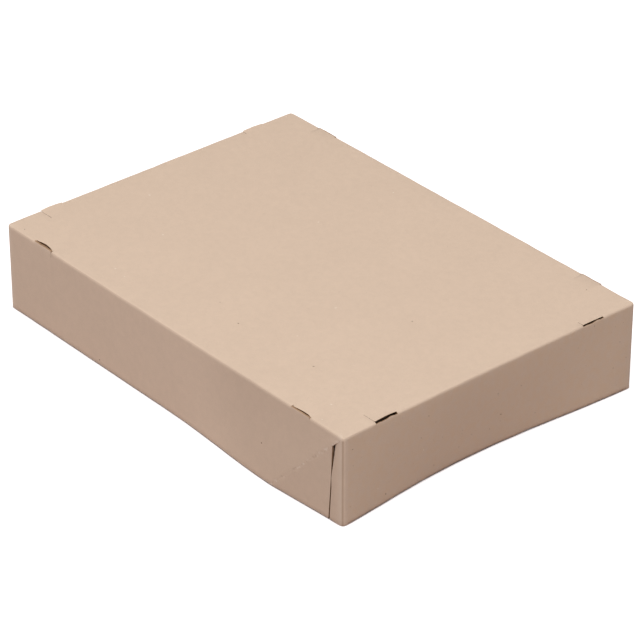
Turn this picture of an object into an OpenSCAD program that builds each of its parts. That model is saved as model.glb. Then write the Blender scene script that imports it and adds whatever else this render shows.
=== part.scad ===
// Closed two-piece cardboard box for a stack of A4 sheets.
// A full-depth lid is pushed over a base tray. Each is folded from one sheet of kraft board,
// with four glued corners and diagonal creases that let it fold flat.
// X runs along the long side, Z up, and the origin is at the middle of the closed box's underside.

/* [Lid] */
// Length of the lid, over its end walls
lid_l = 320; // [260:1:420]
// Width of the lid, over its long walls
lid_w = 230; // [180:1:320]
// Height of the lid, which is the height of the closed box
lid_h = 59.5; // [35:0.5:120]

/* [Board] */
// Thickness of the board
board = 1.5; // [0.8:0.1:2.2]
// Radius inside a fold along the top or the bottom
fold_in = 1; // [0.3:0.1:2]
// How much wider the folds up the corners are than those along the top
corner_more = 0.5; // [0.2:0.1:2]

/* [Walls of the lid] */
// How far the middle of each end wall's lower edge bows in
end_bow = 7; // [0:0.5:12]
// Where along an end wall the bow is deepest, from the front, as a share of its width
bow_peak = 0.45; // [0.35:0.01:0.65]
// How far a long wall stands out at the foot of its crease
crease_bulge = 4; // [0:0.5:8]
// Distance over which that bulge fades out along the long wall
bulge_reach = 100; // [60:5:120]

/* [Corners] */
// Width of the glue flap that shows at the top of a corner seam
seam_top = 6; // [5:0.5:9]
// Width of the glue flap that shows at the foot of a corner seam
seam_foot = 11.5; // [9:0.5:16]
// Depth to which the relief cut runs down from the corner
relief_depth = 7.5; // [6:0.5:10]
// Width of the relief cut
relief_w = 0.8; // [0.4:0.1:1.2]
// Length of a glue flap from its corner
flap_l = 38; // [25:1:55]
// How much a glue flap tapers in at its free end
flap_taper = 6; // [2:0.5:10]
// Width of the pressed line of a diagonal crease
crease_w = 0.9; // [0.5:0.1:1.5]

/* [Slits in the top folds] */
// Length of a slit
slit_l = 16.5; // [10:0.5:25]
// Distance of a slit in an end fold from its corner
end_slit_at = 25.5; // [20:0.5:40]
// Distance of a slit in a long fold from its corner
long_slit_at = 29; // [20:0.5:40]
// Depth of the wall's raw edge at an end slit, and width of the gap behind it at a long slit
slit_gap = 1.4; // [0.8:0.1:2]
// How far the raw edge at a slit stands above the top panel
slit_proud = 0.5; // [0.1:0.1:1]
// How far the panel's lip at an end slit stays back from the face of the box
lip_back = 0.5; // [0.1:0.1:1]
// Thickness of the lip where the knife has pressed its edge
lip_edge = 0.6; // [0.4:0.1:0.8]
// Length of the short cut that runs from a slit into the top panel
leg_l = 8; // [4:0.5:12]
// Length of the short cut that runs from a slit down a long wall
tick_l = 4; // [3:0.5:8]
// Width of a knife cut
cut_w = 0.5; // [0.3:0.1:0.8]

/* [Fit of the base in the lid] */
// Play between the base and the glue flaps inside the lid's long walls, on each side
side_play = 1; // [0.4:0.1:3]
// Play between the base and the deepest point inside the lid's end walls, at each end
end_play = 0.4; // [0.3:0.1:3]
// Gap between the rim of the base and the lid's top panel
top_play = 0.3; // [0.2:0.1:1]

/* [Hidden] */

KRAFT_OUTSIDE = "#d8bfaa";
KRAFT_INSIDE = "#c9ae98";

// Radii outside the folds, along the top or bottom and up the corners
fold_r = board + fold_in;
corner_r = fold_r + corner_more;

// The four walls go round anticlockwise, seen from above: front, right end, back, left end.
FRONT = 0;
RIGHT = 1;
BACK = 2;
LEFT = 3;

// Steps round a fold's quarter turn, down a curved wall, and along the middle of a curved wall
FOLD_STEPS = 4;
WALL_ROWS = 8;
LONG_STEPS = 10;
END_STEPS = 18;
// Overlap of a cutter past what it cuts
PAST = 1;
// How the bow of an end wall grows down the wall and swells along it
BOW_DROP = 1.25;
BOW_SWELL = 1.5;
// Facets round a crease or relief cutter
CUTTER_FN = 8;

// A tray is described by its length, width, height, end bow and crease bulge.
LID = [lid_l, lid_w, lid_h, end_bow, crease_bulge];
BASE = [
    lid_l - 2 * (board + end_depth() + end_play),
    lid_w - 2 * (2 * board + side_play),
    lid_h - board - top_play,
    0,
    0
];

// A straight wall needs no steps of its own
function is_curved(t) = t[3] > 0 || t[4] > 0;
function rows_down(t) = is_curved(t) ? WALL_ROWS : 1;

function is_long(side) = side % 2 == 0;
function side_l(t, side) = is_long(side) ? t[0] : t[1];
function across(t, side) = is_long(side) ? t[1] : t[0];
function along_of(side) = [cos(90 * side), sin(90 * side)];
function outward(side, turn = 0) = [sin(90 * side + turn), -cos(90 * side + turn)];

// Share of the bow at a share of an end wall's width from the front
function bow_share(share) = pow(max(0, sin(180 * pow(share, ln(0.5) / ln(bow_peak)))), BOW_SWELL);

// What the lid's end walls take up inside: the bow, or a glue flap on the bowed wall if that is more
function end_depth() = max(
    end_bow,
    board + end_bow * bow_share(min(0.5, (flap_l - corner_r) / (lid_w - 2 * corner_r)))
);

// How the bulge beside a crease fades with the distance from it
function fade(distance) = distance >= bulge_reach ? 0 : (1 + cos(180 * distance / bulge_reach)) / 2;

// How far a long wall stands out, at a distance from its right corner fold and a depth below the top fold.
// The triangle past the crease is flat, and beyond the crease the bulge fades out.
function bulge_at(t, from_corner, depth, full_depth) =
    from_corner <= depth
        ? t[4] * max(0, from_corner) / full_depth
        : t[4] * depth / full_depth * fade(from_corner - depth);

// How far a wall stands out from its flat place, at the distance s from where it starts
// and at the share q of its depth below the fold
function push(t, side, s, q) =
    let (
        run = side_l(t, side) - 2 * corner_r,
        at = min(run, max(0, s - corner_r)),
        full = t[2] - fold_r
    )
    side == FRONT ? bulge_at(t, run - at, q * full, full)
    : side == BACK ? bulge_at(t, at, q * full, full)
    : -t[3] * pow(q, BOW_DROP) * bow_share(side == RIGHT ? at / run : 1 - at / run);

// A point on a wall, s along it from the corner where it starts, depth below the top, inset into the board
function spot(t, side, s, depth, inset) =
    let (
        q = max(0, depth - fold_r) / (t[2] - fold_r),
        p = along_of(side) * (s - side_l(t, side) / 2)
            + outward(side) * (across(t, side) / 2 - inset + push(t, side, s, min(1, q)))
    )
    [p.x, p.y, t[2] - depth];

// Stations round the tray, each with its wall, its place along the wall and its turn in the corner fold.
// Beside a crease they are as far apart as the rows, so that the crease runs through the cells' corners.
function wall_stations(t, side) =
    let (
        n = side_l(t, side),
        cell = (t[2] - fold_r) / rows_down(t),
        near = is_long(side) ? [for (i = [0:rows_down(t)]) corner_r + i * cell] : [corner_r],
        first = near[len(near) - 1],
        steps = !is_curved(t) ? 1 : is_long(side) ? LONG_STEPS : END_STEPS,
        middle = steps > 1 ? [for (i = [1:steps - 1]) first + (n - 2 * first) * i / steps] : [],
        far = [for (i = [len(near) - 1:-1:0]) n - near[i]]
    )
    [for (s = concat(near, middle, far)) [side, s, 0]];

function stations(t) = [
    for (side = [FRONT:LEFT]) each concat(
        wall_stations(t, side),
        [for (i = [1:FOLD_STEPS - 1]) [side, side_l(t, side) - corner_r, 90 * i / FOLD_STEPS]]
    )
];

function station_point(t, st, inset, z, q) =
    let (
        core = along_of(st[0]) * (st[1] - side_l(t, st[0]) / 2)
            + outward(st[0]) * (across(t, st[0]) / 2 - corner_r),
        out = st[2] == 0 ? push(t, st[0], st[1], q) : 0,
        p = core + outward(st[0], st[2]) * (corner_r - inset + out)
    )
    [p.x, p.y, z];

// Rows of the section, from the panel round the fold and down the wall: inset, height and share of depth
function section(t, thick) = concat(
    [for (i = [0:FOLD_STEPS]) let (a = 90 * i / FOLD_STEPS) [
        fold_r - (fold_r - thick) * sin(a),
        t[2] - fold_r + (fold_r - thick) * cos(a),
        0
    ]],
    [for (i = [1:rows_down(t)])
        let (q = i / rows_down(t)) [thick, (t[2] - fold_r) * (1 - q), q]]
);

// The folded sheet without its cuts: panel, folds and four walls, as one closed skin
module folded_sheet(t) {
    round = stations(t);
    outer = section(t, 0);
    inner = section(t, board);
    n = len(round);
    m = len(outer);
    points = [
        for (rows = [outer, inner], row = rows, st = round) station_point(t, st, row[0], row[1], row[2])
    ];
    // Each cell is split so that its diagonal follows the creases
    first_half = [for (st = round) st[1] < side_l(t, st[0]) / 2];
    function cell(a, b, c, d, rising) = rising ? [[a, b, c], [a, c, d]] : [[a, b, d], [b, c, d]];
    faces = [
        for (j = [0:m - 2], i = [0:n - 1])
            let (k = (i + 1) % n, o = j * n, p = (j + 1) * n)
            each cell(o + i, o + k, p + k, p + i, first_half[i]),
        for (j = [0:m - 2], i = [0:n - 1])
            let (k = (i + 1) % n, o = (m + j) * n, p = (m + j + 1) * n)
            each [for (f = cell(o + i, o + k, p + k, p + i, first_half[i])) [f[2], f[1], f[0]]],
        for (i = [0:n - 1])
            let (k = (i + 1) % n, o = (m - 1) * n, p = (2 * m - 1) * n)
            each [[o + i, o + k, p + k], [o + i, p + k, p + i]],
        [for (i = [n - 1:-1:0]) i],
        [for (i = [0:n - 1]) m * n + i]
    ];
    polyhedron(points, faces);
}

// A patch that follows a wall between two insets. Each row is a depth and where it starts and ends,
// measured from the wall's start, or from its finish where at_finish is true.
module wall_patch(t, side, at_finish, rows, inset_out, inset_in, steps = 6) {
    m = len(rows);
    n = steps + 1;
    function place(row, i) =
        let (u = at_finish ? 1 - i / steps : i / steps, s = row[1] + (row[2] - row[1]) * u)
        at_finish ? side_l(t, side) - s : s;
    points = [
        for (inset = [inset_out, inset_in], row = rows, i = [0:steps])
            spot(t, side, place(row, i), row[0], inset)
    ];
    faces = [
        for (j = [0:m - 2], i = [0:n - 2])
            let (a = j * n + i, b = (m + j) * n + i)
            each [
                [a, a + 1, a + n + 1], [a, a + n + 1, a + n],
                [b + n + 1, b + 1, b], [b + n, b + n + 1, b]
            ],
        for (i = [0:n - 2])
            let (a = i, b = m * n + i, c = (m - 1) * n + i, d = (2 * m - 1) * n + i)
            each [[b, b + 1, a + 1], [b, a + 1, a], [c, c + 1, d + 1], [c, d + 1, d]],
        for (j = [0:m - 2])
            let (a = j * n, b = (m + j) * n, c = a + n - 1, d = b + n - 1)
            each [[a, a + n, b + n], [a, b + n, b], [d, d + n, c + n], [d, c + n, c]]
    ];
    polyhedron(points, faces);
}

// Depths of the rows of a patch that runs down a wall
function depths(t, from) = [for (i = [0:WALL_ROWS]) from + (t[2] - from) * i / WALL_ROWS];

// The seam's place at a depth below the top, from the corner
function seam_at(t, depth) =
    seam_top + (seam_foot - seam_top) * (depth - relief_depth) / (t[2] - relief_depth);

// The glue flap, fused where it is glued inside the wall
module glue_flap(t, side, at_finish) {
    top = fold_r + board / 2;
    end = [for (d = depths(t, top)) min(
        flap_l,
        flap_l - flap_taper + (d - top),
        flap_l - flap_taper + (t[2] - d)
    )];
    rows = [for (i = [0:WALL_ROWS]) [depths(t, top)[i], board / 2, end[i]]];
    wall_patch(t, side, at_finish, rows, board / 2, 2 * board);
}

// The part of the wall that is cut away at a corner, so that the flap behind it shows
module seam_opening(t, side, at_finish) {
    rows = concat(
        [[board, -PAST, board], [relief_depth, -PAST, seam_top]],
        [for (i = [1:WALL_ROWS])
            let (d = relief_depth + (t[2] + PAST - relief_depth) * i / WALL_ROWS)
            [d, -PAST, seam_at(t, d)]]
    );
    wall_patch(t, side, at_finish, rows, -corner_r, board, 4);
}

// A straight cutter between two spots on a wall, each given as a distance from the corner and a depth
module wall_cut(t, side, at_finish, from, to, width, deep) {
    hull() for (p = [from, to])
        translate(spot(t, side, at_finish ? side_l(t, side) - p[0] : p[0], p[1], deep))
            rotate([90, 0, 90 * side]) cylinder(d = width, h = deep + PAST, $fn = CUTTER_FN);
}

// Relief cut, from the top of the corner down to the seam
module relief_cut(t, side, at_finish) {
    wall_cut(t, side, at_finish, [board, board], [seam_top, relief_depth], relief_w, board);
}

// Pressed line of a diagonal crease, from the corner down to the foot of the wall
module crease_line(t, side, at_finish) {
    foot = corner_r - fold_r + t[2];
    press = crease_w / 3;
    wall_cut(t, side, at_finish, [corner_r + relief_depth, fold_r + relief_depth], [foot, t[2]], crease_w, press);
}

// A box along a wall: from s0 to s1, between two insets and two depths
module edge_box(t, side, s0, s1, inset_out, inset_in, depth_0, depth_1) {
    rotate([0, 0, 90 * side])
        translate([s0 - side_l(t, side) / 2, -across(t, side) / 2 + inset_out, t[2] - depth_1])
            cube([s1 - s0, inset_in - inset_out, depth_1 - depth_0]);
}

// Starts of the two slits in a fold
function slit_starts(t, side) =
    let (from = is_long(side) ? long_slit_at : end_slit_at)
    [from, side_l(t, side) - from - slit_l];

// What is cut at a slit, with the short cut at its end. At a long fold the gap is in the panel, behind
// a tab of the wall. At an end fold it is between the wall's raw edge and a lip of the panel above it.
module slit_opening(t, side, s) {
    edge_box(t, side, s, s + slit_l, board, max(fold_r, board + slit_gap), -PAST, fold_r);
    edge_box(t, side, s, s + slit_l, -PAST, board + PAST, -PAST, is_long(side) ? fold_r : slit_gap);
    if (is_long(side)) {
        tick = side == FRONT ? s + slit_l : s - cut_w;
        edge_box(t, side, tick, tick + cut_w, -PAST, fold_r, -PAST, tick_l);
    } else {
        leg = side == RIGHT ? s : s + slit_l - cut_w;
        edge_box(t, side, leg, leg + cut_w, 0, leg_l, -PAST, board + PAST);
    }
}

// The raw edge that is left at a slit: the wall's tab, straight up, or the panel's lip, sprung up
module slit_edge(t, side, s) {
    root = max(fold_r, board + slit_gap);
    if (is_long(side)) edge_box(t, side, s, s + slit_l, 0, board, -slit_proud, fold_r + board);
    else hull() {
        edge_box(t, side, s + cut_w, s + slit_l - cut_w, root, root + board, 0, board);
        edge_box(t, side, s + cut_w, s + slit_l - cut_w, lip_back, board, -slit_proud, lip_edge - slit_proud);
    }
}

// A tray with its panel on top and its walls down. The right end wall and both long walls' left ends
// carry the glue flaps.
module tray(t, slits) {
    flaps = [[FRONT, true], [BACK, false], [LEFT, false], [LEFT, true]];
    creases = [[FRONT, false], [FRONT, true], [BACK, false], [BACK, true]];
    difference() {
        union() {
            folded_sheet(t);
            for (f = flaps) glue_flap(t, f[0], f[1]);
        }
        for (f = flaps) {
            seam_opening(t, f[0], f[1]);
            relief_cut(t, f[0], f[1]);
        }
        for (c = creases) crease_line(t, c[0], c[1]);
        if (slits) for (side = [FRONT:LEFT], s = slit_starts(t, side)) slit_opening(t, side, s);
    }
    if (slits) for (side = [FRONT:LEFT], s = slit_starts(t, side)) slit_edge(t, side, s);
}

// The base stands open side up, inside the lid
module base_tray() {
    color(KRAFT_INSIDE) translate([0, 0, BASE[2]]) rotate([180, 0, 0]) tray(BASE, false);
}

module lid_tray() {
    color(KRAFT_OUTSIDE) tray(LID, true);
}

base_tray();
lid_tray();
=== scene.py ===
import math

import bmesh
import bpy
from mathutils import Matrix, Vector, noise


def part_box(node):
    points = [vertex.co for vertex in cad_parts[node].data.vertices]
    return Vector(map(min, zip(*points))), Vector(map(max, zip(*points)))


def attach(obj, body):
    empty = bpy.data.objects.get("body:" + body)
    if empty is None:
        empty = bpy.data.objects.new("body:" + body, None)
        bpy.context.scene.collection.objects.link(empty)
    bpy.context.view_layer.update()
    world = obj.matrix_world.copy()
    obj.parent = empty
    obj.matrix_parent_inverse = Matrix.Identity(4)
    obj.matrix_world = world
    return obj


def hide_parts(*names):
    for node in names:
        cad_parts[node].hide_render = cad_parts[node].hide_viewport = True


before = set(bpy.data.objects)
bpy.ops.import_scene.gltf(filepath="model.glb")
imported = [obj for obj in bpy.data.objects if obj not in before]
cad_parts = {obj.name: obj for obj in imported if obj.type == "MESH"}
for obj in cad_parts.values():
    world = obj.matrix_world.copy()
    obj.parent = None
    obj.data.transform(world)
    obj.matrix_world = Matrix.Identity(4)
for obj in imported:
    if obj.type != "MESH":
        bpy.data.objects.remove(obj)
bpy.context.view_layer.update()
scene = bpy.context.scene

# Camera.
# It looks down at the near corner of the box from in front of it and to the right, through a long lens,
# so that the edges of the box hardly converge.
UP = Vector((0, 0, 1))
NEAR_CORNER = Vector((0.160, -0.115, 0.0595))
CAMERA_DISTANCE = 1.9196
# How far right of the picture's middle and how far below it the near corner lies, as shares of its distance
CORNER_RIGHT, CORNER_BELOW = 0.006655, 0.034873
camera_turn = math.radians(49.69)
camera_tilt = math.radians(31.268)
ahead = Vector((
    -math.sin(camera_turn) * math.cos(camera_tilt),
    math.cos(camera_turn) * math.cos(camera_tilt),
    -math.sin(camera_tilt),
))
rightwards = ahead.cross(UP).normalized()
upwards = rightwards.cross(ahead)
eye = NEAR_CORNER - CAMERA_DISTANCE * (ahead + CORNER_RIGHT * rightwards - CORNER_BELOW * upwards)

camera_data = bpy.data.cameras.new("camera")
camera_data.lens = 193
camera_data.sensor_width = 36
camera_data.clip_start = 0.05
camera = bpy.data.objects.new("camera", camera_data)
turned = Matrix((rightwards, upwards, -ahead)).transposed().to_4x4()
camera.matrix_world = Matrix.Translation(eye) @ turned
scene.collection.objects.link(camera)
scene.camera = camera

# Base tray.
# The lower half of the box, a shallow tray of kraft board with its open side up. It is cut from one sheet,
# creased, folded up, and glued at its four corners by flaps behind the neighbouring walls.
BOARD = 0.0015
FOLD = 0.0025
CORNER = 0.003
WORN_EDGE = 0.00012
# The lines that cut the sheet into strips: depths below the panel, and places along the box and across it
BASE_ROWS = (0.0083, 0.020, 0.0325, 0.045)
BASE_COLUMNS = (-0.1, -0.05, 0, 0.05, 0.1)
BASE_CROSSINGS = (-0.06, 0, 0.06)
# A seam, as distances along the wall from its corner and depths below the panel: the relief cut runs down at 45
# degrees, and the seam runs on from its end to the foot
RELIEF_START = (0.0015, 0.0015)
RELIEF_END = (0.0083, 0.0083)
SEAM_FOOT = 0.0115
# How wide the gap at an even seam is
EVEN_GAP = 0.0005
# What a seam takes in: so far along the wall, so far behind its face, and from so far below the top
SEAM_REACH, SEAM_BEHIND, SEAM_BELOW = 0.013, 0.0031, 0.0006
# How far the wall's end can spring, and the depth over which it starts to
SPRUNG_REACH, SPRUNG_EASE = 0.0118, 0.003
# The strip of the corner fold sinks a little, tucks in behind the wall, and runs on as the flap
STRIP_SINK = 0.0002
STRIP_TUCK = 0.00003
GLUE = 0.00005
FLAP = 0.038
FLAP_TAPER = 0.006
FLAP_STEPS = 4
# Points this close are the same one, this close to a line or plane lie on it, and this close to the level of a
# face are flush with it
SAME, NEAR, FLUSH = 1e-6, 1e-5, 1e-4


def choose(tray, kind, wanted):
    """Selects only the vertices, edges or faces that pass a test."""
    bpy.ops.mesh.select_all(action="DESELECT")
    bpy.context.tool_settings.mesh_select_mode = (kind == "verts", kind == "edges", kind == "faces")
    mesh = bmesh.from_edit_mesh(tray.data)
    for element in getattr(mesh, kind):
        if wanted(element):
            element.select_set(True)
    bmesh.update_edit_mesh(tray.data)


def cut(point, normal):
    """Cuts what is selected along a plane."""
    bpy.ops.mesh.bisect(plane_co=point, plane_no=normal, use_fill=False)


def cut_all(point, normal):
    """Cuts the whole tray along a plane."""
    bpy.ops.mesh.select_all(action="SELECT")
    cut(point, normal)


def folded_blank(name, length, width, height, rows, columns, crossings):
    """A sheet folded down on four sides, panel up, cut into strips along the given lines."""
    bpy.ops.object.select_all(action="DESELECT")
    bpy.ops.mesh.primitive_cube_add(size=1, location=(0, 0, height / 2), scale=(length, width, height))
    tray = bpy.context.object
    tray.name = tray.data.name = name
    bpy.ops.object.transform_apply(location=True, rotation=True, scale=True)
    bpy.ops.object.mode_set(mode="EDIT")
    choose(tray, "faces", lambda f: f.normal.z < -0.5)
    bpy.ops.mesh.delete(type="FACE")
    choose(tray, "edges", lambda e: abs(e.verts[0].co.z - e.verts[1].co.z) > height / 2)
    bpy.ops.mesh.bevel(offset=CORNER, segments=6, profile=0.58, affect="EDGES")
    choose(tray, "edges", lambda e: min(v.co.z for v in e.verts) > height - NEAR)
    bpy.ops.mesh.bevel(offset=FOLD, segments=6, profile=0.68, affect="EDGES")
    for depth in rows:
        cut_all((0, 0, height - depth), (0, 0, 1))
    for x in columns:
        cut_all((x, 0, 0), (1, 0, 0))
    for y in crossings:
        cut_all((0, y, 0), (0, 1, 0))
    return tray


def wall_frame(length, width, height, end, outward):
    """A wall's upper corner, the way along the wall from that corner, and the way out of it."""
    out = Vector(outward)
    corner = Vector((length / 2 * end[0], width / 2 * end[1], height))
    along = Vector((-end[0], 0, 0)) if abs(out.y) > 0.5 else Vector((0, -end[1], 0))
    return corner, along, out


def on_wall(wall, point):
    """Where a point is on a wall: how far from its corner, how deep below the top, how far out of its face."""
    corner, along, out = wall
    offset = point - corner
    return offset.dot(along), -offset.z, offset.dot(out)


def seam_line(depth, height):
    """How far from the corner the seam is, at a depth below the relief cut."""
    return RELIEF_END[0] + (SEAM_FOOT - RELIEF_END[0]) * (depth - RELIEF_END[1]) / (height - RELIEF_END[1])


def open_seam(tray, wall, height, lift, gap):
    """Cuts the wall free of the corner fold, and turns the fold's strip in behind it as a glue flap. The wall's
    end lifts, and the strip's edge stands back from it, each by an amount that depends on the depth."""
    corner, along, out = wall
    lines = (RELIEF_START, RELIEF_END), (RELIEF_END, (SEAM_FOOT, height))

    def past(line, a, depth):
        (a0, d0), (a1, d1) = line
        return ((a - a0) * (d1 - d0) - (depth - d0) * (a1 - a0)) / math.hypot(a1 - a0, d1 - d0)

    def line_at(depth):
        return lines[0] if depth < RELIEF_END[1] - SAME else lines[1]

    def by_corner(face):
        a, depth, o = on_wall(wall, face.calc_center_median())
        return NEAR < a < SEAM_REACH and o > -SEAM_BEHIND and depth > SEAM_BELOW

    def on_cut(vertex):
        a, depth, o = on_wall(wall, vertex.co)
        return (depth > RELIEF_START[1] - NEAR and o > -CORNER and a > NEAR
                and abs(past(line_at(depth), a, depth)) < 2 * NEAR)

    def in_strip(face):
        a, depth, o = on_wall(wall, face.calc_center_median())
        return by_corner(face) and past(line_at(depth), a, depth) < 0

    def place_of(vertex):
        return tuple(round(c, 7) for c in vertex.co)

    for line in lines:
        (a0, d0), (a1, d1) = line
        choose(tray, "faces", lambda f: by_corner(f)
               and line_at(on_wall(wall, f.calc_center_median())[1]) is line)
        way = along * (a1 - a0) - UP * (d1 - d0)
        cut(corner + along * a0 - UP * d0, way.cross(out).normalized())
    choose(tray, "edges", lambda e: all(on_cut(v) for v in e.verts))
    bpy.ops.mesh.edge_split(type="EDGE")

    mesh = bmesh.from_edit_mesh(tray.data)
    strip = {v for f in mesh.faces if in_strip(f) for v in f.verts}
    strip_edge = set()
    for v in mesh.verts:
        a, depth, o = on_wall(wall, v.co)
        if v in strip and depth > RELIEF_END[1] + SAME and a > CORNER:
            v.co -= along * gap(depth) * (a - CORNER) / (seam_line(depth, height) - CORNER)
        if v in strip and on_cut(v):
            if depth > RELIEF_END[1] - SAME:
                v.co -= out * STRIP_SINK
            if depth < RELIEF_END[1] + SAME:
                share = (a - RELIEF_START[0]) / (RELIEF_END[0] - RELIEF_START[0])
                v.co -= (along - UP) * gap(RELIEF_END[1]) * share * share
            if depth > RELIEF_END[1] - SAME:
                strip_edge.add(place_of(v))
        elif v not in strip and o > -FLUSH and RELIEF_START[0] < a < SPRUNG_REACH and depth > FOLD:
            v.co += out * lift(depth) * min(1, (depth - FOLD) / SPRUNG_EASE)
    bmesh.update_edit_mesh(tray.data)

    # The strip dives behind the wall's end, and runs on as the flap
    choose(tray, "edges", lambda e: len(e.link_faces) == 1 and all(place_of(v) in strip_edge for v in e.verts))
    for step in range(FLAP_STEPS + 1):
        bpy.ops.mesh.extrude_edges_move()
        mesh = bmesh.from_edit_mesh(tray.data)
        for v in mesh.verts:
            if v.select:
                a, depth, o = on_wall(wall, v.co)
                end = min(FLAP, FLAP - FLAP_TAPER + min(depth - RELIEF_END[1], height - depth))
                start = seam_line(depth, height) - STRIP_TUCK
                v.co += along * (start + (end - start) * step / FLAP_STEPS - a) - out * (BOARD + GLUE + o)
        bmesh.update_edit_mesh(tray.data)


def give_thickness(tray, *finishes):
    """Turns the folded sheet into board, lined outside and inside, with its cut edges lightly rounded. Where
    the knife or a fold pressed it, it is thinner."""
    bpy.ops.mesh.select_all(action="SELECT")
    bpy.ops.mesh.normals_make_consistent(inside=False)
    bpy.ops.object.mode_set(mode="OBJECT")
    for finish in finishes:
        tray.data.materials.append(finish)
    # The shares are read first, because a new vertex group would end the reading
    pressed = tray.data.attributes.get("pressed")
    shares = [1 - point.value for point in pressed.data] if pressed else [1.0] * len(tray.data.vertices)
    group = tray.vertex_groups.new(name="thickness")
    for index, share in enumerate(shares):
        group.add([index], share, "REPLACE")
    board = tray.modifiers.new("board", "SOLIDIFY")
    board.vertex_group = group.name
    board.thickness_vertex_group = 0
    board.thickness = BOARD
    board.offset = -1
    board.use_even_offset = False
    board.use_quality_normals = True
    board.material_offset = 1
    board.material_offset_rim = 2
    bpy.ops.object.modifier_apply(modifier=board.name)
    worn = tray.modifiers.new("worn_edges", "BEVEL")
    worn.width = WORN_EDGE
    worn.segments = 2
    worn.limit_method = "ANGLE"
    worn.angle_limit = math.radians(55)
    worn.use_clamp_overlap = True
    bpy.ops.object.modifier_apply(modifier=worn.name)
    bpy.ops.object.shade_smooth_by_angle(angle=math.radians(32))


def plain(colour):
    """The linear colour of an sRGB hex value."""
    channels = [int(colour[i:i + 2], 16) / 255 for i in (1, 3, 5)]
    return (*[c / 12.92 if c <= 0.04045 else ((c + 0.055) / 1.055) ** 2.4 for c in channels], 1)


def add_node(tree, kind, settings=None, **inputs):
    """Adds a node with its settings. Each input is named as its socket, or as its number after an underscore,
    and gets a value or the socket that feeds it."""
    made = tree.nodes.new(kind)
    for name, value in (settings or {}).items():
        setattr(made, name, value)
    for name, value in inputs.items():
        socket = made.inputs[int(name[1:]) if name[1:].isdigit() else name.replace("_", " ")]
        if isinstance(value, bpy.types.NodeSocket):
            tree.links.new(value, socket)
        else:
            socket.default_value = value
    return made


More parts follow.
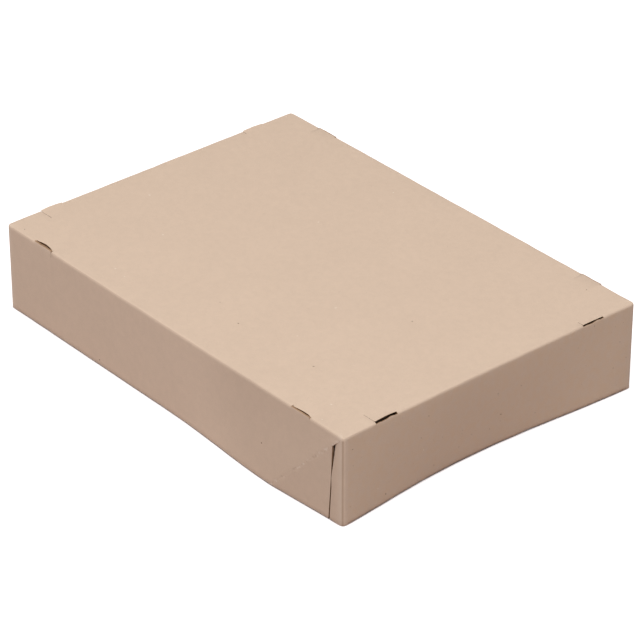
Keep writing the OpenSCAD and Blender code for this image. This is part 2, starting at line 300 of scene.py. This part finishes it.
# Kraft liner is unbleached paper: warm brown, matt, softly clouded where the pulp lay thicker, with pale and
# dark fibres a few millimetres long, a few dark specks of bark and a few pale chips.
def kraft_liner(name, colour, clouding, worn=None):
    made = bpy.data.materials.new(name)
    made.use_nodes = True
    tree = made.node_tree
    tree.nodes.clear()
    place = add_node(tree, "ShaderNodeTexCoord").outputs["Object"]
    # Clouds 30 to 60 mm wide, and clumps of pulp 3 to 6 mm wide
    clouds = add_node(tree, "ShaderNodeTexNoise", Vector=place, Scale=24.0, Detail=3.0, Roughness=0.55)
    clumps = add_node(tree, "ShaderNodeTexNoise", Vector=place, Scale=230.0, Detail=3.0, Roughness=0.6)
    # Fibres 2 to 3 mm long and 0.25 mm wide, which lie three ways
    pale = dark = felt = None
    for turn in (0.35, 1.4, 2.5):
        lie = add_node(tree, "ShaderNodeMapping", {"vector_type": "TEXTURE"}, Vector=place,
                       Rotation=(turn * 0.7, turn * 0.4, turn), Scale=(7.0, 1.0, 1.0))
        strand = add_node(tree, "ShaderNodeTexNoise", Vector=lie.outputs[0], Scale=3600.0, Detail=1.0)
        high = add_node(tree, "ShaderNodeMapRange", Value=strand.outputs[0], From_Min=0.67, From_Max=0.76)
        low = add_node(tree, "ShaderNodeMapRange", Value=strand.outputs[0], From_Min=0.32, From_Max=0.23)
        if pale is None:
            pale, dark, felt = high.outputs[0], low.outputs[0], strand.outputs[0]
            continue
        pale = add_node(tree, "ShaderNodeMath", {"operation": "MAXIMUM"},
                        _0=pale, _1=high.outputs[0]).outputs[0]
        dark = add_node(tree, "ShaderNodeMath", {"operation": "MAXIMUM"},
                        _0=dark, _1=low.outputs[0]).outputs[0]
        felt = add_node(tree, "ShaderNodeMath", {"operation": "ADD"},
                        _0=felt, _1=strand.outputs[0]).outputs[0]
    # Dark specks of bark and pale chips up to 1.3 and 1.5 mm wide, each in half the cells of a pattern whose
    # cells are 13 or 12 mm wide, with ragged outlines
    wobble = add_node(tree, "ShaderNodeTexNoise", Vector=place, Scale=900.0, Detail=1.0)
    strayed = add_node(tree, "ShaderNodeVectorMath", {"operation": "MULTIPLY_ADD"},
                       _0=wobble.outputs["Color"], _1=(0.0012, 0.0012, 0.0012), _2=place).outputs[0]
    spots = []
    for spacing, channel, widest in ((76.0, 0, 0.050), (84.0, 1, 0.065)):
        cells = add_node(tree, "ShaderNodeTexVoronoi", Vector=strayed, Scale=spacing)
        chance = add_node(tree, "ShaderNodeSeparateColor", Color=cells.outputs["Color"])
        size = add_node(tree, "ShaderNodeMapRange", Value=chance.outputs[channel],
                        From_Min=0.5, From_Max=1.0, To_Min=0.0, To_Max=widest)
        spots.append(add_node(tree, "ShaderNodeMath", {"operation": "LESS_THAN"},
                              _0=cells.outputs["Distance"], _1=size.outputs[0]).outputs[0])
    speck, chip = spots

    base = plain(colour)
    lighter = (*[min(1, c * (1 + clouding)) for c in base[:3]], 1)
    darker = (*[c * (1 - clouding) for c in base[:3]], 1)
    tone = add_node(tree, "ShaderNodeMix", {"data_type": "RGBA"},
                    _0=clouds.outputs[0], _6=darker, _7=lighter)
    clump_light = add_node(tree, "ShaderNodeMapRange", Value=clumps.outputs[0], From_Min=0.3, From_Max=0.7,
                           To_Min=1 - clouding * 0.7, To_Max=1 + clouding * 0.7)
    tone = add_node(tree, "ShaderNodeVectorMath", {"operation": "SCALE"},
                    _0=tone.outputs[2], Scale=clump_light.outputs[0]).outputs[0]
    marks = [(pale, 0.20, "#f3e6d8"), (dark, 0.18, "#94725a"),
             (chip, 0.45, "#f2e6d8"), (speck, 0.62, "#6b4a36")]
    # For the lid, these marks hold wear and also painted light and shade
    marks += worn(tree, place, clumps.outputs[0]) if worn else []
    for mask, amount, shade in marks:
        strength = add_node(tree, "ShaderNodeMath", {"operation": "MULTIPLY"}, _0=mask, _1=amount)
        tone = add_node(tree, "ShaderNodeMix", {"data_type": "RGBA"}, _0=strength.outputs[0],
                        _6=tone, _7=plain(shade)).outputs[2]

    height = add_node(tree, "ShaderNodeMath", {"operation": "MULTIPLY_ADD"},
                      _0=felt, _1=0.5, _2=clumps.outputs[0])
    bump = add_node(tree, "ShaderNodeBump", Height=height.outputs[0], Strength=0.5, Distance=0.00008)
    paper = add_node(tree, "ShaderNodeBsdfPrincipled", Base_Color=tone, Normal=bump.outputs[0],
                     Roughness=0.88, IOR=1.45)
    add_node(tree, "ShaderNodeOutputMaterial", Surface=paper.outputs[0])
    return made


# The cut edge shows the middle of the board, which is recycled pulp: darker than the liner, rough and layered.
def cut_edge():
    made = bpy.data.materials.new("cut_board_edge")
    made.use_nodes = True
    tree = made.node_tree
    tree.nodes.clear()
    place = add_node(tree, "ShaderNodeTexCoord").outputs["Object"]
    # Torn fibre ends up to 0.6 mm wide, in patches of 5 mm
    ends = add_node(tree, "ShaderNodeTexNoise", Vector=place, Scale=1600.0, Detail=3.0, Roughness=0.7)
    patches = add_node(tree, "ShaderNodeTexNoise", Vector=place, Scale=180.0, Detail=2.0)
    mixed = add_node(tree, "ShaderNodeMath", {"operation": "MULTIPLY_ADD"},
                     _0=ends.outputs[0], _1=0.6, _2=patches.outputs[0])
    shade = add_node(tree, "ShaderNodeMapRange", Value=mixed.outputs[0], From_Min=0.55, From_Max=1.05)
    tone = add_node(tree, "ShaderNodeMix", {"data_type": "RGBA"}, _0=shade.outputs[0],
                    _6=plain("#8c6c50"), _7=plain("#b89677"))
    # Painted shade: where ambient occlusion finds the edge down in a gap, it turns dark brown
    open_air = add_node(tree, "ShaderNodeAmbientOcclusion", {"samples": 8}, Distance=0.003)
    gap_painted_shade = add_node(tree, "ShaderNodeMapRange", Value=open_air.outputs["AO"], From_Min=0.7, From_Max=0.35)
    tone = add_node(tree, "ShaderNodeMix", {"data_type": "RGBA"}, _0=gap_painted_shade.outputs[0],
                    _6=tone.outputs[2], _7=plain("#5c3d24"))
    bump = add_node(tree, "ShaderNodeBump", Height=ends.outputs[0], Strength=0.6, Distance=0.00015)
    paper = add_node(tree, "ShaderNodeBsdfPrincipled", Base_Color=tone.outputs[2], Normal=bump.outputs[0],
                     Roughness=0.95, IOR=1.45)
    add_node(tree, "ShaderNodeOutputMaterial", Surface=paper.outputs[0])
    return made


outside = kraft_liner("kraft_liner_outside", "#d8bfa9", 0.03)
inside = kraft_liner("kraft_liner_inside", "#c7a486", 0.05)
edge = cut_edge()

base_low, base_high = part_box("base_tray")
base_length, base_width, base_height = base_high - base_low
base = folded_blank("base_board", base_length, base_width, base_height,
                    BASE_ROWS, BASE_COLUMNS, BASE_CROSSINGS)
for end, outward in (((1, -1), (0, -1, 0)), ((1, 1), (0, 1, 0)),
                     ((-1, -1), (-1, 0, 0)), ((-1, 1), (-1, 0, 0))):
    open_seam(base, wall_frame(base_length, base_width, base_height, end, outward), base_height,
              lambda depth: 0, lambda depth: EVEN_GAP)
give_thickness(base, outside, inside, edge)
base.data.transform(Matrix.Translation((0, 0, base_height)) @ Matrix.Rotation(math.pi, 4, "X"))
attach(base, "base")
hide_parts("base_tray")

# Lid.
# The upper half, as deep as the base, pushed down over it until its walls reach the ground. It is folded and
# glued like the base, and short slits through its top folds let it fold flat along its diagonal creases.
LID_LENGTH, LID_WIDTH, LID_HEIGHT = 0.320, 0.230, 0.0595
# How long a slit is, how wide a knife cut is, and how far in over the top the short and the long leg reach
SLIT = 0.0165
CUT = 0.0002
LEGS = (0.005, 0.012)
# Slits in the long sides: side, start, how far in the top's cut edge lies at its widest, the exponent that sets
# where along the slit that is, how thick the tab's edge is left, how far it stands above the top, and how far
# down the knife cut runs
LONG_SLITS = (
    (-1, -0.131, 0.0032, 0.8, 0.0013, 0.0005, 0.0035),
    (-1, 0.1145, 0.0021, 1.5, 0.0010, 0.0001, 0.0),
    (1, -0.131, 0.0007, 1.3, 0.0006, -0.0002, 0.0035),
    (1, 0.1145, 0.0007, 1.8, 0.0006, -0.0002, 0.0035),
)
# How far the top's cut edge stands back from the tab even where it hasn't crept back
TAB_GAP = 0.0001
# Slits in the ends: side, start, how far down the wall's edge lies, how far in the lip's edge lies, how far the
# lip has sprung up, and how far in the leg reaches
END_SLITS = (
    (1, -0.0895, 0.0008, 0.0014, 0.0007, LEGS[1]),
    (1, 0.073, 0.0008, 0.0006, 0.0004, LEGS[0]),
    (-1, -0.0895, 0.0012, 0.0008, 0.0010, LEGS[1]),
    (-1, 0.073, 0.0012, 0.0008, 0.0008, LEGS[0]),
)
# A bump in the wall's edge at an end slit: how high, where along the slit, and how wide, as shares of the slit
BUMP, BUMP_PLACE, BUMP_WIDTH = 0.0006, 0.68, 0.09
# The lip from root to edge: what share of its rise each step takes, and how much thinner it is pressed there
LIP_STEPS = ((0, 0.75), (0.4, 0.8), (0.6, 0.9))
# How much thinner the top's cut edge at a long slit and the wall's edge at an end slit are pressed
TOP_PRESSED, RIM_PRESSED = 0.2, 0.65
# The part of a half wave that the sprung lip follows: where it starts, and how much of it
ARCH_START, ARCH_SPAN = 0.15, 0.75
# As a share of a slit's length, how close to its end counts as its end
AT_END = 1e-4
SLIT_STEPS = (0, 0.0008, 0.003, 0.006, 0.0085, 0.0112, 0.0138, 0.0157, SLIT)
# The lines that cut the sheet into strips: depths below the panel, how far apart the others are, how far out
# from the middle they reach along the box and across it, the last across, and how clear they keep of a slit's
LID_ROWS = [0.004, 0.006] + [0.0083 + 0.0032 * i for i in range(16)]
GRID_STEP, GRID_ALONG, GRID_ACROSS, LAST_ACROSS, GRID_CLEAR = 0.004, 0.146, 0.101, 0.103, 0.0012


def spread(half, wanted):
    """Evenly spaced lines, save close to the wanted ones, and the wanted ones."""
    count = int(2 * half / GRID_STEP)
    even = [half * (2 * i / count - 1) for i in range(count + 1)]
    return sorted([c for c in even if all(abs(c - w) > GRID_CLEAR for w in wanted)] + wanted)


def waver(point, size, per_metre=300):
    """Unevenness of up to a size, with so many swells to the metre. A cut edge has one every 3 mm or so."""
    return size * noise.noise(point * per_metre)


long_starts = sorted({slit[1] for slit in LONG_SLITS})
end_starts = sorted({slit[1] for slit in END_SLITS})
lid_columns = spread(GRID_ALONG, [s + step for s in long_starts for step in SLIT_STEPS + (SLIT + CUT,)])
lid_crossings = spread(GRID_ACROSS, [s + step for s in end_starts for step in SLIT_STEPS + (CUT,)])
leg_ends = [leg - LID_LENGTH / 2 for leg in LEGS], [LID_LENGTH / 2 - leg for leg in LEGS]
lid = folded_blank("lid_board", LID_LENGTH, LID_WIDTH, LID_HEIGHT, LID_ROWS,
                   [*leg_ends[0], *lid_columns, *leg_ends[1]], [-LAST_ACROSS, *lid_crossings, LAST_ACROSS])
mesh = bmesh.from_edit_mesh(lid.data)
mesh.verts.layers.float.new("pressed")

# Each long wall has two slits, and a tab of the wall stands straight up in each. The top's cut edge has crept
# back from the tab, most part of the way along. A short knife cut runs on from one end of each slit.
for side, start, inset, peak, rim, proud, tick in LONG_SLITS:
    def in_slit(face):
        point = face.calc_center_median()
        return (start < point.x < start + SLIT + CUT and LID_WIDTH / 2 - side * point.y < FOLD
                and LID_HEIGHT - point.z < (FOLD if point.x < start + SLIT else tick))
    choose(lid, "faces", in_slit)
    bpy.ops.mesh.delete(type="FACE")
    choose(lid, "edges", lambda e: all(
        start - SAME < v.co.x < start + SLIT + SAME and abs(LID_WIDTH / 2 - side * v.co.y) < SAME
        and abs(LID_HEIGHT - v.co.z - FOLD) < SAME for v in e.verts))
    bpy.ops.mesh.extrude_edges_move(TRANSFORM_OT_translate={"value": (0, 0, FOLD + proud)})
    mesh = bmesh.from_edit_mesh(lid.data)
    pressed = mesh.verts.layers.float["pressed"]
    for v in mesh.verts:
        share = (v.co.x - start) / SLIT
        if v.select:
            v[pressed] = 1 - rim / BOARD
            v.co.z += waver(v.co, 0.00015)
        elif (AT_END < share < 1 + AT_END and v.co.z > LID_HEIGHT - SAME
              and abs(LID_WIDTH / 2 - FOLD - side * v.co.y) < SAME):
            gape = (inset - rim) * max(0, math.sin(math.pi * share ** peak)) ** 0.8
            v.co.y = side * (LID_WIDTH / 2 - rim - TAB_GAP - gape - waver(v.co, 0.0002))
            v[pressed] = TOP_PRESSED
    bmesh.update_edit_mesh(lid.data)

# The end walls' slits leave a lip of the top, which the knife pressed thin along its edge and which has sprung
# up. A leg of the cut frees one end of it.
for side, start, sunk, back, sprung, leg in END_SLITS:
    def in_slit(face):
        point = face.calc_center_median()
        return (start < point.y < start + SLIT and LID_HEIGHT - point.z < FOLD
                and LID_LENGTH / 2 - side * point.x < (leg if point.y < start + CUT else FOLD))
    choose(lid, "faces", in_slit)
    bpy.ops.mesh.delete(type="FACE")
    choose(lid, "edges", lambda e: all(
        start - SAME < v.co.y < start + SLIT + SAME and abs(LID_LENGTH / 2 - side * v.co.x) < SAME
        and abs(LID_HEIGHT - v.co.z - FOLD) < SAME for v in e.verts))
    bpy.ops.mesh.extrude_edges_move(TRANSFORM_OT_translate={"value": (0, 0, FOLD - sunk)})
    mesh = bmesh.from_edit_mesh(lid.data)
    pressed = mesh.verts.layers.float["pressed"]
    for v in mesh.verts:
        if v.select:
            share = (v.co.y - start) / SLIT
            v[pressed] = RIM_PRESSED
            v.co.z += BUMP * math.exp(-((share - BUMP_PLACE) / BUMP_WIDTH) ** 2) + waver(v.co, 0.0003)
    bmesh.update_edit_mesh(lid.data)
    choose(lid, "edges", lambda e: all(
        start + CUT - SAME < v.co.y < start + SLIT + SAME
        and abs(LID_LENGTH / 2 - side * v.co.x - FOLD) < SAME
        and abs(LID_HEIGHT - v.co.z) < SAME for v in e.verts))
    for rise, thinned in LIP_STEPS:
        if rise:
            bpy.ops.mesh.extrude_edges_move(
                TRANSFORM_OT_translate={"value": (side * (FOLD - back) / 2, 0, 0)})
        mesh = bmesh.from_edit_mesh(lid.data)
        pressed = mesh.verts.layers.float["pressed"]
        for v in mesh.verts:
            if v.select:
                share = (v.co.y - start) / SLIT
                v[pressed] = thinned
                arch = sprung * math.sin(math.pi * (ARCH_START + ARCH_SPAN * share))
                v.co.z += rise * (arch + waver(v.co, 0.00015))
                if rise and share > 1 - AT_END:
                    v.co.y -= CUT
        bmesh.update_edit_mesh(lid.data)

# The diagonal creases, each pressed in between two lines, run down at 45 degrees from the long walls' top
# folds. The values are how far from the middle they meet the foot, half the width of one, how deep it is
# pressed, the depth from which it is cut, just below the relief cuts, and how much wider a line at 45 degrees is
# when it is measured along the box
CREASE = (LID_LENGTH - LID_HEIGHT * 2 - 0.001) / 2
CREASE_HALF = 0.0006
CREASE_PRESS = 0.0001
CREASE_TOP = 0.0108
SLANT = 1.4142
for side in (-1, 1):
    for shift in (-CREASE_HALF, 0, CREASE_HALF):
        choose(lid, "faces", lambda f: abs(f.normal.y) > 0.9 and f.calc_center_median().x * side > 0
               and LID_HEIGHT - f.calc_center_median().z > CREASE_TOP)
        cut((side * (CREASE + shift * SLANT), 0, 0), (side, 0, -1))


# A sprung seam: how far the wall's end stands off at the top and at the foot, and between what depths the glue
# holds; how wide the gap is everywhere, how much wider its wedge is at the top, and how far down that reaches;
# how much wider it is at the foot, from what depth, and over what length it grows
SPRUNG_TOP, SPRUNG_FOOT, GLUED = 0.0005, 0.0002, (0.029, 0.035)
SEAM_GAP, WEDGE, WEDGE_REACH = 0.0003, 0.0019, 0.0212
FOOT_GAP, FOOT_GAP_START, FOOT_GAP_EASE = 0.0005, 0.031, 0.005


def seam_lift(depth):
    """How far the wall's end has sprung away from the flap: most at the top, none where the glue holds."""
    top = SPRUNG_TOP * max(0, 1 - depth / GLUED[0])
    return top + SPRUNG_FOOT * max(0, (depth - GLUED[1]) / (LID_HEIGHT - GLUED[1]))


def seam_gap(depth):
    """How far the corner fold's strip stands back: it opens as a wedge above where the two edges touch."""
    wedge = WEDGE * max(0, 1 - (depth - RELIEF_END[1]) / WEDGE_REACH)
    foot = FOOT_GAP * min(1, max(0, (depth - FOOT_GAP_START) / FOOT_GAP_EASE))
    return SEAM_GAP + wedge + foot


# The near corner's seam and the one opposite have sprung open. The other two stand off a little, evenly
for end, outward, lift, gap in (
        ((1, -1), (0, -1, 0), seam_lift, seam_gap),
        ((1, 1), (0, 1, 0), lambda depth: 0.0002, lambda depth: EVEN_GAP),
        ((-1, -1), (-1, 0, 0), lambda depth: 0.0001, lambda depth: EVEN_GAP),
        ((-1, 1), (-1, 0, 0), seam_lift, seam_gap)):
    open_seam(lid, wall_frame(LID_LENGTH, LID_WIDTH, LID_HEIGHT, end, outward), LID_HEIGHT, lift, gap)

# How far an end wall bows in at its foot, and one end's top fold too, and where along the wall that is deepest;
# how far a long wall stands out at the crease's foot, and how far beyond the crease that reaches
END_BOW = 0.007
FOLD_BOW = 0.0012
BOW_PEAK = 0.45
CREASE_BULGE = 0.004
BULGE_REACH = 0.100


def bow(point):
    """How far an end wall has bowed in. It grows down the wall and swells towards the middle. One fold bows."""
    share = min(1, max(0, (point.y + LID_WIDTH / 2 - CORNER) / (LID_WIDTH - 2 * CORNER)))
    drop = min(1, max(0, (LID_HEIGHT - FOLD - point.z) / (LID_HEIGHT - FOLD)))
    swell = max(0, math.sin(math.pi * share ** (math.log(0.5) / math.log(BOW_PEAK))))
    fold_bow = FOLD_BOW if point.x > 0 else 0
    arch = max(0, math.sin(math.pi * share)) ** 0.5
    return END_BOW * drop ** 1.25 * swell ** 1.5 + fold_bow * (1 - drop) * arch


def bulge(point):
    """How far a long wall stands out: a flat triangle past the crease, fading out beyond it."""
    full = LID_HEIGHT - FOLD
    depth = max(0, full - point.z)
    from_fold = max(0, LID_LENGTH / 2 - CORNER - point.x)
    if from_fold <= depth:
        return CREASE_BULGE * from_fold / full
    distance = min(BULGE_REACH, from_fold - depth)
    return CREASE_BULGE * depth / full * (1 + math.cos(math.pi * distance / BULGE_REACH)) / 2


def wear_and_painted_shade(tree, place, clumps):
    """What years of handling did to the lid's liner, and painted light and shade, as masks with their
    strengths and colours: pale scuffs and pits on the creases, corner folds rubbed pale and painted
    lighter on the long walls' side with a dark score deepened by painted shade, long walls with painted
    shade towards one end, end walls with a painted browner tint, and a painted shadow along their feet."""
    split = add_node(tree, "ShaderNodeSeparateXYZ", Vector=place)
    x = add_node(tree, "ShaderNodeMath", {"operation": "ABSOLUTE"}, _0=split.outputs[0]).outputs[0]
    y = add_node(tree, "ShaderNodeMath", {"operation": "ABSOLUTE"}, _0=split.outputs[1]).outputs[0]
    z = split.outputs[2]
    # The creases, 4 mm wide, where the distance in from the end and the depth are equal on the long walls.
    # Those of the +X end show much more
    off = add_node(tree, "ShaderNodeMath", {"operation": "SUBTRACT"}, _0=x, _1=z)
    off = add_node(tree, "ShaderNodeMath", {"operation": "SUBTRACT"}, _0=off.outputs[0], _1=CREASE)
    off = add_node(tree, "ShaderNodeMath", {"operation": "ABSOLUTE"}, _0=off.outputs[0])
    line = add_node(tree, "ShaderNodeMapRange", Value=off.outputs[0], From_Min=0.0004, From_Max=0.0022,
                    To_Min=1.0, To_Max=0.0)
    wall = add_node(tree, "ShaderNodeMath", {"operation": "GREATER_THAN"}, _0=y, _1=LID_WIDTH / 2 - 0.001)
    end = add_node(tree, "ShaderNodeMapRange", Value=split.outputs[0], From_Min=-0.01, From_Max=0.01,
                   To_Min=0.12, To_Max=1.0)
    line = add_node(tree, "ShaderNodeMath", {"operation": "MULTIPLY"}, _0=line.outputs[0], _1=wall.outputs[0])
    line = add_node(tree, "ShaderNodeMath", {"operation": "MULTIPLY"}, _0=line.outputs[0], _1=end.outputs[0])
    # Paper rubbed up in crumbs 1 to 2 mm wide
    crumbs = add_node(tree, "ShaderNodeTexNoise", Vector=place, Scale=480.0, Detail=2.0).outputs[0]
    raised = add_node(tree, "ShaderNodeMapRange", Value=crumbs, From_Min=0.55, From_Max=0.68)
    sunk = add_node(tree, "ShaderNodeMapRange", Value=crumbs, From_Min=0.42, From_Max=0.3)
    scuff = add_node(tree, "ShaderNodeMath", {"operation": "MULTIPLY"},
                     _0=line.outputs[0], _1=raised.outputs[0])
    pits = add_node(tree, "ShaderNodeMath", {"operation": "MULTIPLY"}, _0=line.outputs[0], _1=sunk.outputs[0])
    # The corner folds, rubbed pale on the long walls' side, with a painted highlight there as well
    near_x = add_node(tree, "ShaderNodeMapRange", {"interpolation_type": "SMOOTHSTEP"}, Value=x,
                      From_Min=LID_LENGTH / 2 - 0.007, From_Max=LID_LENGTH / 2 - 0.001)
    near_y = add_node(tree, "ShaderNodeMapRange", {"interpolation_type": "SMOOTHSTEP"}, Value=y,
                      From_Min=LID_WIDTH / 2 - 0.008, From_Max=LID_WIDTH / 2)
    corner = add_node(tree, "ShaderNodeMath", {"operation": "MULTIPLY"},
                      _0=near_x.outputs[0], _1=near_y.outputs[0])
    across = add_node(tree, "ShaderNodeMath", {"operation": "SUBTRACT"}, _0=x, _1=y)
    across = add_node(tree, "ShaderNodeMath", {"operation": "SUBTRACT"},
                      _0=across.outputs[0], _1=(LID_LENGTH - LID_WIDTH) / 2)
    long_side = add_node(tree, "ShaderNodeMapRange", Value=across.outputs[0],
                         From_Min=-0.0012, From_Max=-0.0002, To_Min=1.0, To_Max=0.0)
    rubbed_and_painted_light = add_node(tree, "ShaderNodeMath", {"operation": "MULTIPLY"},
                      _0=corner.outputs[0], _1=long_side.outputs[0])
    # The score that the fold was made on, halfway round it, darkened further with painted shade
    across = add_node(tree, "ShaderNodeMath", {"operation": "ABSOLUTE"}, _0=across.outputs[0])
    score_and_painted_shade = add_node(tree, "ShaderNodeMapRange", Value=across.outputs[0], From_Min=0.0003, From_Max=0.0013,
                     To_Min=1.0, To_Max=0.0)
    low = add_node(tree, "ShaderNodeMath", {"operation": "LESS_THAN"}, _0=z, _1=LID_HEIGHT - 0.002)
    score_and_painted_shade = add_node(tree, "ShaderNodeMath", {"operation": "MULTIPLY"},
                     _0=score_and_painted_shade.outputs[0], _1=corner.outputs[0])
    score_and_painted_shade = add_node(tree, "ShaderNodeMath", {"operation": "MULTIPLY"}, _0=score_and_painted_shade.outputs[0], _1=low.outputs[0])
    # Painted shade: the long walls darken towards the end that stands out
    towards_plus_x = add_node(tree, "ShaderNodeMapRange", {"interpolation_type": "SMOOTHSTEP"},
                       Value=split.outputs[0], From_Min=0.020, From_Max=0.095)
    long_wall_painted_shade = add_node(tree, "ShaderNodeMath", {"operation": "MULTIPLY"},
                      _0=towards_plus_x.outputs[0], _1=wall.outputs[0])
    # The end walls are browner in patches, a painted tint of shade, with more flecks of bark
    ends = add_node(tree, "ShaderNodeMath", {"operation": "LESS_THAN"}, _0=y, _1=LID_WIDTH / 2 - 0.004)
    below = add_node(tree, "ShaderNodeMath", {"operation": "LESS_THAN"}, _0=z, _1=LID_HEIGHT - FOLD / 2)
    end_wall = add_node(tree, "ShaderNodeMath", {"operation": "MULTIPLY"},
                        _0=ends.outputs[0], _1=below.outputs[0])
    patches = add_node(tree, "ShaderNodeMapRange", Value=clumps, From_Min=0.35, From_Max=0.65,
                       To_Min=0.0, To_Max=2.0)
    end_wall_painted_tint = add_node(tree, "ShaderNodeMath", {"operation": "MULTIPLY"},
                       _0=patches.outputs[0], _1=end_wall.outputs[0])
    bark = add_node(tree, "ShaderNodeMapRange", Value=crumbs, From_Min=0.735, From_Max=0.77)
    flecks = add_node(tree, "ShaderNodeMath", {"operation": "MULTIPLY"},
                      _0=bark.outputs[0], _1=end_wall.outputs[0])
    # Painted shadow: their lower edges are darker 1 mm high, broken up by noise
    foot = add_node(tree, "ShaderNodeMapRange", Value=z, From_Min=0.0009, From_Max=0.0018,
                    To_Min=1.0, To_Max=0.0)
    shadow_breakup = add_node(tree, "ShaderNodeMapRange", Value=crumbs, From_Min=0.3, From_Max=0.6,
                      To_Min=0.3, To_Max=1.0)
    foot_painted_shadow = add_node(tree, "ShaderNodeMath", {"operation": "MULTIPLY"}, _0=foot.outputs[0], _1=ends.outputs[0])
    foot_painted_shadow = add_node(tree, "ShaderNodeMath", {"operation": "MULTIPLY"},
                     _0=foot_painted_shadow.outputs[0], _1=shadow_breakup.outputs[0])
    return [(scuff.outputs[0], 0.42, "#f3e6d8"), (pits.outputs[0], 0.3, "#8c6a50"),
            (rubbed_and_painted_light.outputs[0], 0.2, "#efdfcf"), (score_and_painted_shade.outputs[0], 0.35, "#8c6a50"),
            (long_wall_painted_shade.outputs[0], 0.14, "#6f5240"), (end_wall_painted_tint.outputs[0], 0.09, "#cca26c"),
            (flecks.outputs[0], 0.55, "#6b4a36"), (foot_painted_shadow.outputs[0], 0.45, "#6f5240")]


# The lid's liner carries marks of handling and painted light and shade
lid_liner_with_painted_shade = kraft_liner("kraft_liner_lid", "#d8bfa9", 0.03, wear_and_painted_shade)

# How far in from the face a wall's points lie, how far from a top fold the dents are, and how far in from the
# long walls the top waves
WALL_BAND, DENT_BAND, WAVE_MARGIN = 0.005, 0.002, 0.006
# How far from a corner the foot starts to stand up, over what length, and how far
FOOT_START, FOOT_EASE, FOOT_CLEAR = 0.004, 0.008, 0.0005
mesh = bmesh.from_edit_mesh(lid.data)
for v in mesh.verts:
    point = v.co.copy()
    depth = LID_HEIGHT - point.z
    in_crease = abs(abs(point.x) - point.z - CREASE) < SAME and depth > CREASE_TOP
    if abs(point.x) > LID_LENGTH / 2 - WALL_BAND and abs(point.y) < LID_WIDTH / 2 - CORNER:
        v.co.x -= math.copysign(bow(point), point.x)
    if abs(point.y) > LID_WIDTH / 2 - WALL_BAND and abs(point.x) < LID_LENGTH / 2 - CORNER:
        press = (CREASE_PRESS if point.x > 0 else CREASE_PRESS / 2) if in_crease else 0
        v.co.y += math.copysign(bulge(point) - press, point.y)
    # The top folds are a little dented
    if max(abs(point.x) - LID_LENGTH / 2, abs(point.y) - LID_WIDTH / 2) > -DENT_BAND and depth < DENT_BAND:
        v.co.z += waver(point, 0.0002, 110)
    # No board is quite flat: the sheet waves by a tenth of a millimetre
    if abs(point.y) < LID_WIDTH / 2 - WAVE_MARGIN and point.z > LID_HEIGHT - FLUSH:
        v.co.z += waver(point, 0.00015, 14)
    # The lower edges stand a little off the ground between the corners, so a thin dark line runs under them
    if point.z < NEAR:
        away = max(LID_LENGTH / 2 - abs(point.x), LID_WIDTH / 2 - abs(point.y))
        share = min(1, max(0, (away - FOOT_START) / FOOT_EASE))
        v.co.z += share * share * (3 - 2 * share) * (FOOT_CLEAR + waver(point, 0.0003, 70))
bmesh.update_edit_mesh(lid.data)
give_thickness(lid, lid_liner_with_painted_shade, inside, edge)

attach(lid, "lid")
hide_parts("lid_tray")

# Floor.
# A plain pale studio table. The camera sees it as white paper, and it keeps the shadow of the box, which is
# darkest under the lower edges.
bpy.ops.object.select_all(action="DESELECT")
bpy.ops.mesh.primitive_plane_add(size=8, location=(0, 0, -0.0002))
floor = bpy.context.object
floor.name = "floor"
white = bpy.data.materials.new("white_paper_sweep")
white.use_nodes = True
tree = white.node_tree
tree.nodes.clear()
paper = add_node(tree, "ShaderNodeBsdfDiffuse", Color=plain("#bcafaf"))
open_air = add_node(tree, "ShaderNodeAmbientOcclusion", {"samples": 8}, Distance=0.003)
strength = add_node(tree, "ShaderNodeMapRange", Value=open_air.outputs["AO"],
                    From_Min=0.42, From_Max=0.72, To_Max=0.85)
glow = add_node(tree, "ShaderNodeEmission", Color=(1, 1, 1, 1), Strength=strength.outputs[0])
both = add_node(tree, "ShaderNodeAddShader", _0=paper.outputs[0], _1=glow.outputs[0])
ray = add_node(tree, "ShaderNodeLightPath")
seen = add_node(tree, "ShaderNodeMath", {"operation": "MAXIMUM"},
                _0=ray.outputs["Is Camera Ray"], _1=ray.outputs["Is Glossy Ray"])
seen = add_node(tree, "ShaderNodeMath", {"operation": "MAXIMUM"},
                _0=seen.outputs[0], _1=ray.outputs["Is Transmission Ray"])
shown = add_node(tree, "ShaderNodeMixShader", _0=seen.outputs[0], _1=paper.outputs[0], _2=both.outputs[0])
add_node(tree, "ShaderNodeOutputMaterial", Surface=shown.outputs[0])
floor.data.materials.append(white)

# Light.
# A plain soft sky all round, and one large softbox above the front of the box, to the left of the camera.
# What the camera sees of the sky is white.
world = bpy.data.worlds.new("studio")
scene.world = world
world.use_nodes = True
tree = world.node_tree
tree.nodes.clear()
ray = add_node(tree, "ShaderNodeLightPath")
seen = add_node(tree, "ShaderNodeMath", {"operation": "MAXIMUM"},
                _0=ray.outputs["Is Camera Ray"], _1=ray.outputs["Is Glossy Ray"])
sky = add_node(tree, "ShaderNodeBackground", Color=(1, 1, 1, 1), Strength=0.30)
backdrop = add_node(tree, "ShaderNodeBackground", Color=(1, 1, 1, 1), Strength=1.0)
shown = add_node(tree, "ShaderNodeMixShader", _0=seen.outputs[0], _1=sky.outputs[0], _2=backdrop.outputs[0])
add_node(tree, "ShaderNodeOutputWorld", Surface=shown.outputs[0])

softbox_data = bpy.data.lights.new("softbox", "AREA")
softbox_data.shape = "SQUARE"
softbox_data.size = 1.8
softbox_data.energy = 85.7
softbox = bpy.data.objects.new("softbox", softbox_data)
softbox.location = Vector((0.25, -0.39, 1.0)) * 3.0
softbox.rotation_euler = softbox.location.to_track_quat("Z", "Y").to_euler()
scene.collection.objects.link(softbox)

scene.view_settings.view_transform = "Standard"
